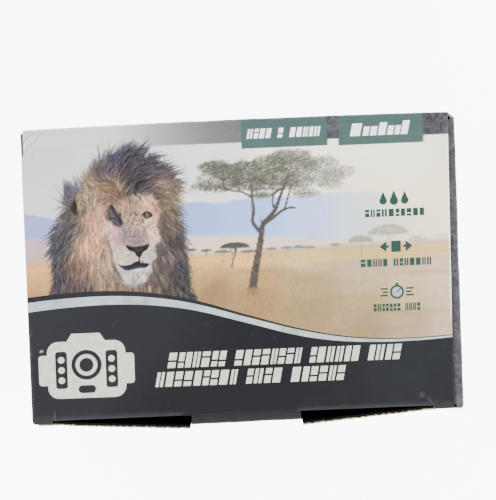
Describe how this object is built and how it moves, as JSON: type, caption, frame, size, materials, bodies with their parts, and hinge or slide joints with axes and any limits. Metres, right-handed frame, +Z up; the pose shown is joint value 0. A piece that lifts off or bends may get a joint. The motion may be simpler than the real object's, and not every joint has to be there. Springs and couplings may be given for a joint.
{
  "type": "trail camera carton",
  "caption": "Closed roll-end lock-front mailer carton of printed micro-flute board, lid up, with a compact trail camera packed inside in a board cradle",
  "frame": {"origin": "middle of the carton's underside, on the surface it stands on", "axes": "+Z up; X along the width of the carton; the lid hinges at +Y and locks at -Y"},
  "size_m": [0.153, 0.1064, 0.07],
  "materials": {
    "printed_lid": "matt printed liner: landscape artwork over a charcoal band",
    "camo_board": "matt liner printed in a grey leaf camouflage",
    "kraft_board": "unprinted brown kraft micro-flute board",
    "leaflet_paper": "matt white paper",
    "case_plastic": "textured olive green ABS",
    "black_plastic": "black ABS",
    "gasket_rubber": "black silicone",
    "steel": "nickel-plated steel",
    "brass_socket": "turned brass",
    "lens_glass": "coated lens glass",
    "sensor_lens": "milky polyethylene Fresnel lens",
    "dark_window": "infrared-passing dark acrylic",
    "led_plastic": "smoky epoxy",
    "circuit_board": "green solder mask"
  },
  "bodies": {
    "carton": {"back_ear_left": "kraft_board", "back_ear_right": "kraft_board", "back_wall": "camo_board", "base_panel": "kraft_board", "battery_contacts": "steel", "battery_tray": "black_plastic", "camera_front_case": "case_plastic", "camera_rear_case": "case_plastic", "case_gasket": "gasket_rubber", "case_latch_lower": "case_plastic", "case_latch_upper": "case_plastic", "display_screen": "dark_window", "front_ear_left": "kraft_board", "front_ear_right": "kraft_board", "front_wall_inner": "kraft_board", "front_wall_outer": "camo_board", "front_wall_spine": "camo_board", "hinge_pin": "steel", "image_sensor": "black_plastic", "infrared_leds": "led_plastic", "infrared_window": "dark_window", "insert_deck": "kraft_board", "insert_leg_left": "kraft_board", "insert_leg_right": "kraft_board", "keypad": "gasket_rubber", "led_board": "circuit_board", "left_wall_inner": "kraft_board", "left_wall_outer": "camo_board", "left_wall_spine": "camo_board", "lens_barrel": "black_plastic", "lens_glass": "lens_glass", "main_board": "circuit_board", "motion_sensor": "steel", "motion_sensor_lens": "sensor_lens", "right_wall_inner": "kraft_board", "right_wall_outer": "camo_board", "right_wall_spine": "camo_board", "tripod_socket": "brass_socket", "user_leaflet": "leaflet_paper"},
    "lid": {"lid_panel": "printed_lid"},
    "tab_left": {"lock_tab_left": "kraft_board"},
    "tab_right": {"lock_tab_right": "kraft_board"},
    "mode_switch": {"mode_switch": "black_plastic"}
  },
  "joints": [
    {"name": "lid_hinge", "type": "hinge", "parent": "carton", "child": "lid", "pos_m": [0, 0.05325, 0.07], "axis": [-1, 0, 0], "range_deg": [0, 180]},
    {"name": "lock_tab_left_fold", "type": "hinge", "parent": "lid", "child": "tab_left", "pos_m": [-0.0446, -0.05025, 0.0687], "axis": [-1, 0, 0], "range_deg": [0, 45]},
    {"name": "lock_tab_right_fold", "type": "hinge", "parent": "lid", "child": "tab_right", "pos_m": [0.0422, -0.05025, 0.0687], "axis": [-1, 0, 0], "range_deg": [0, 45]},
    {"name": "mode_switch_slide", "type": "slide", "parent": "carton", "child": "mode_switch", "axis": [1, 0, 0], "range_m": [0, 0.004]}
  ],
  "couplings": [
    {"joint": "lock_tab_left_fold", "follows": "lid_hinge", "ratio": 0.25},
    {"joint": "lock_tab_right_fold", "follows": "lid_hinge", "ratio": 0.25}
  ]
}
